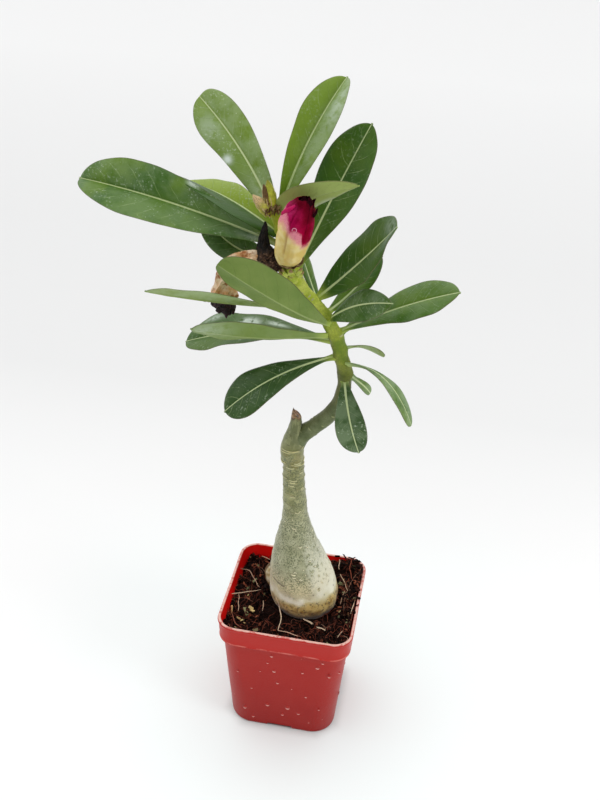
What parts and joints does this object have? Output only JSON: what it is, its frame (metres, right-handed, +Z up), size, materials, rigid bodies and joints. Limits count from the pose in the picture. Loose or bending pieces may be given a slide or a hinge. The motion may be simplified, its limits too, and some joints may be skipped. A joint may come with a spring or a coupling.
{
  "type": "potted desert rose",
  "caption": "Young desert rose with a swollen grey-green caudex, a leafy shoot and a fading bloom, in a square tapered red plastic nursery pot.",
  "frame": {"origin": "middle of the pot's footprint, on the surface it stands on", "axes": "+Z up, the pot's sides along X and Y, -Y towards the viewer, the longest leaf pointing to -X"},
  "size_m": [0.1748, 0.0792, 0.3341],
  "materials": {
    "pot_plastic": "satin",
    "potting_mix": "loose coir chips and peat, damp",
    "bark": "smooth thin bark, matte",
    "leaf": "satin",
    "petal": "soft matte",
    "withered_petal": "papery matte",
    "dried_petal": "dry matte",
    "calyx": "papery matte",
    "bud": "satin"
  },
  "bodies": {
    "root": {"bloom_calyx": "calyx", "bud_brown": "bud", "bud_green": "bud", "bud_tan_pink": "bud", "dried_flower": "dried_petal", "fading_bloom": "petal", "leaf_01_long_left": "leaf", "leaf_02_upper_left": "leaf", "leaf_03_top": "leaf", "leaf_04_upper_right": "leaf", "leaf_05_over_bloom": "leaf", "leaf_06_behind_long_left": "leaf", "leaf_07_under_long_left": "leaf", "leaf_08_front_left": "leaf", "leaf_09_edge_on_left": "leaf", "leaf_10_mid_left_front": "leaf", "leaf_11_mid_left_back": "leaf", "leaf_12_lower_left": "leaf", "leaf_13_hanging": "leaf", "leaf_14_narrow_right": "leaf", "leaf_15_small_arched": "leaf", "leaf_16_tiny": "leaf", "leaf_17_right": "leaf", "leaf_18_small_right": "leaf", "leaf_19_right_raised": "leaf", "leaf_20_behind_right": "leaf", "leaf_21_behind_shoot": "leaf", "leaf_22_small_back": "leaf", "plant_stem": "bark", "pot": "pot_plastic", "potting_mix": "potting_mix", "withered_bloom": "withered_petal"}
  },
  "joints": []
}
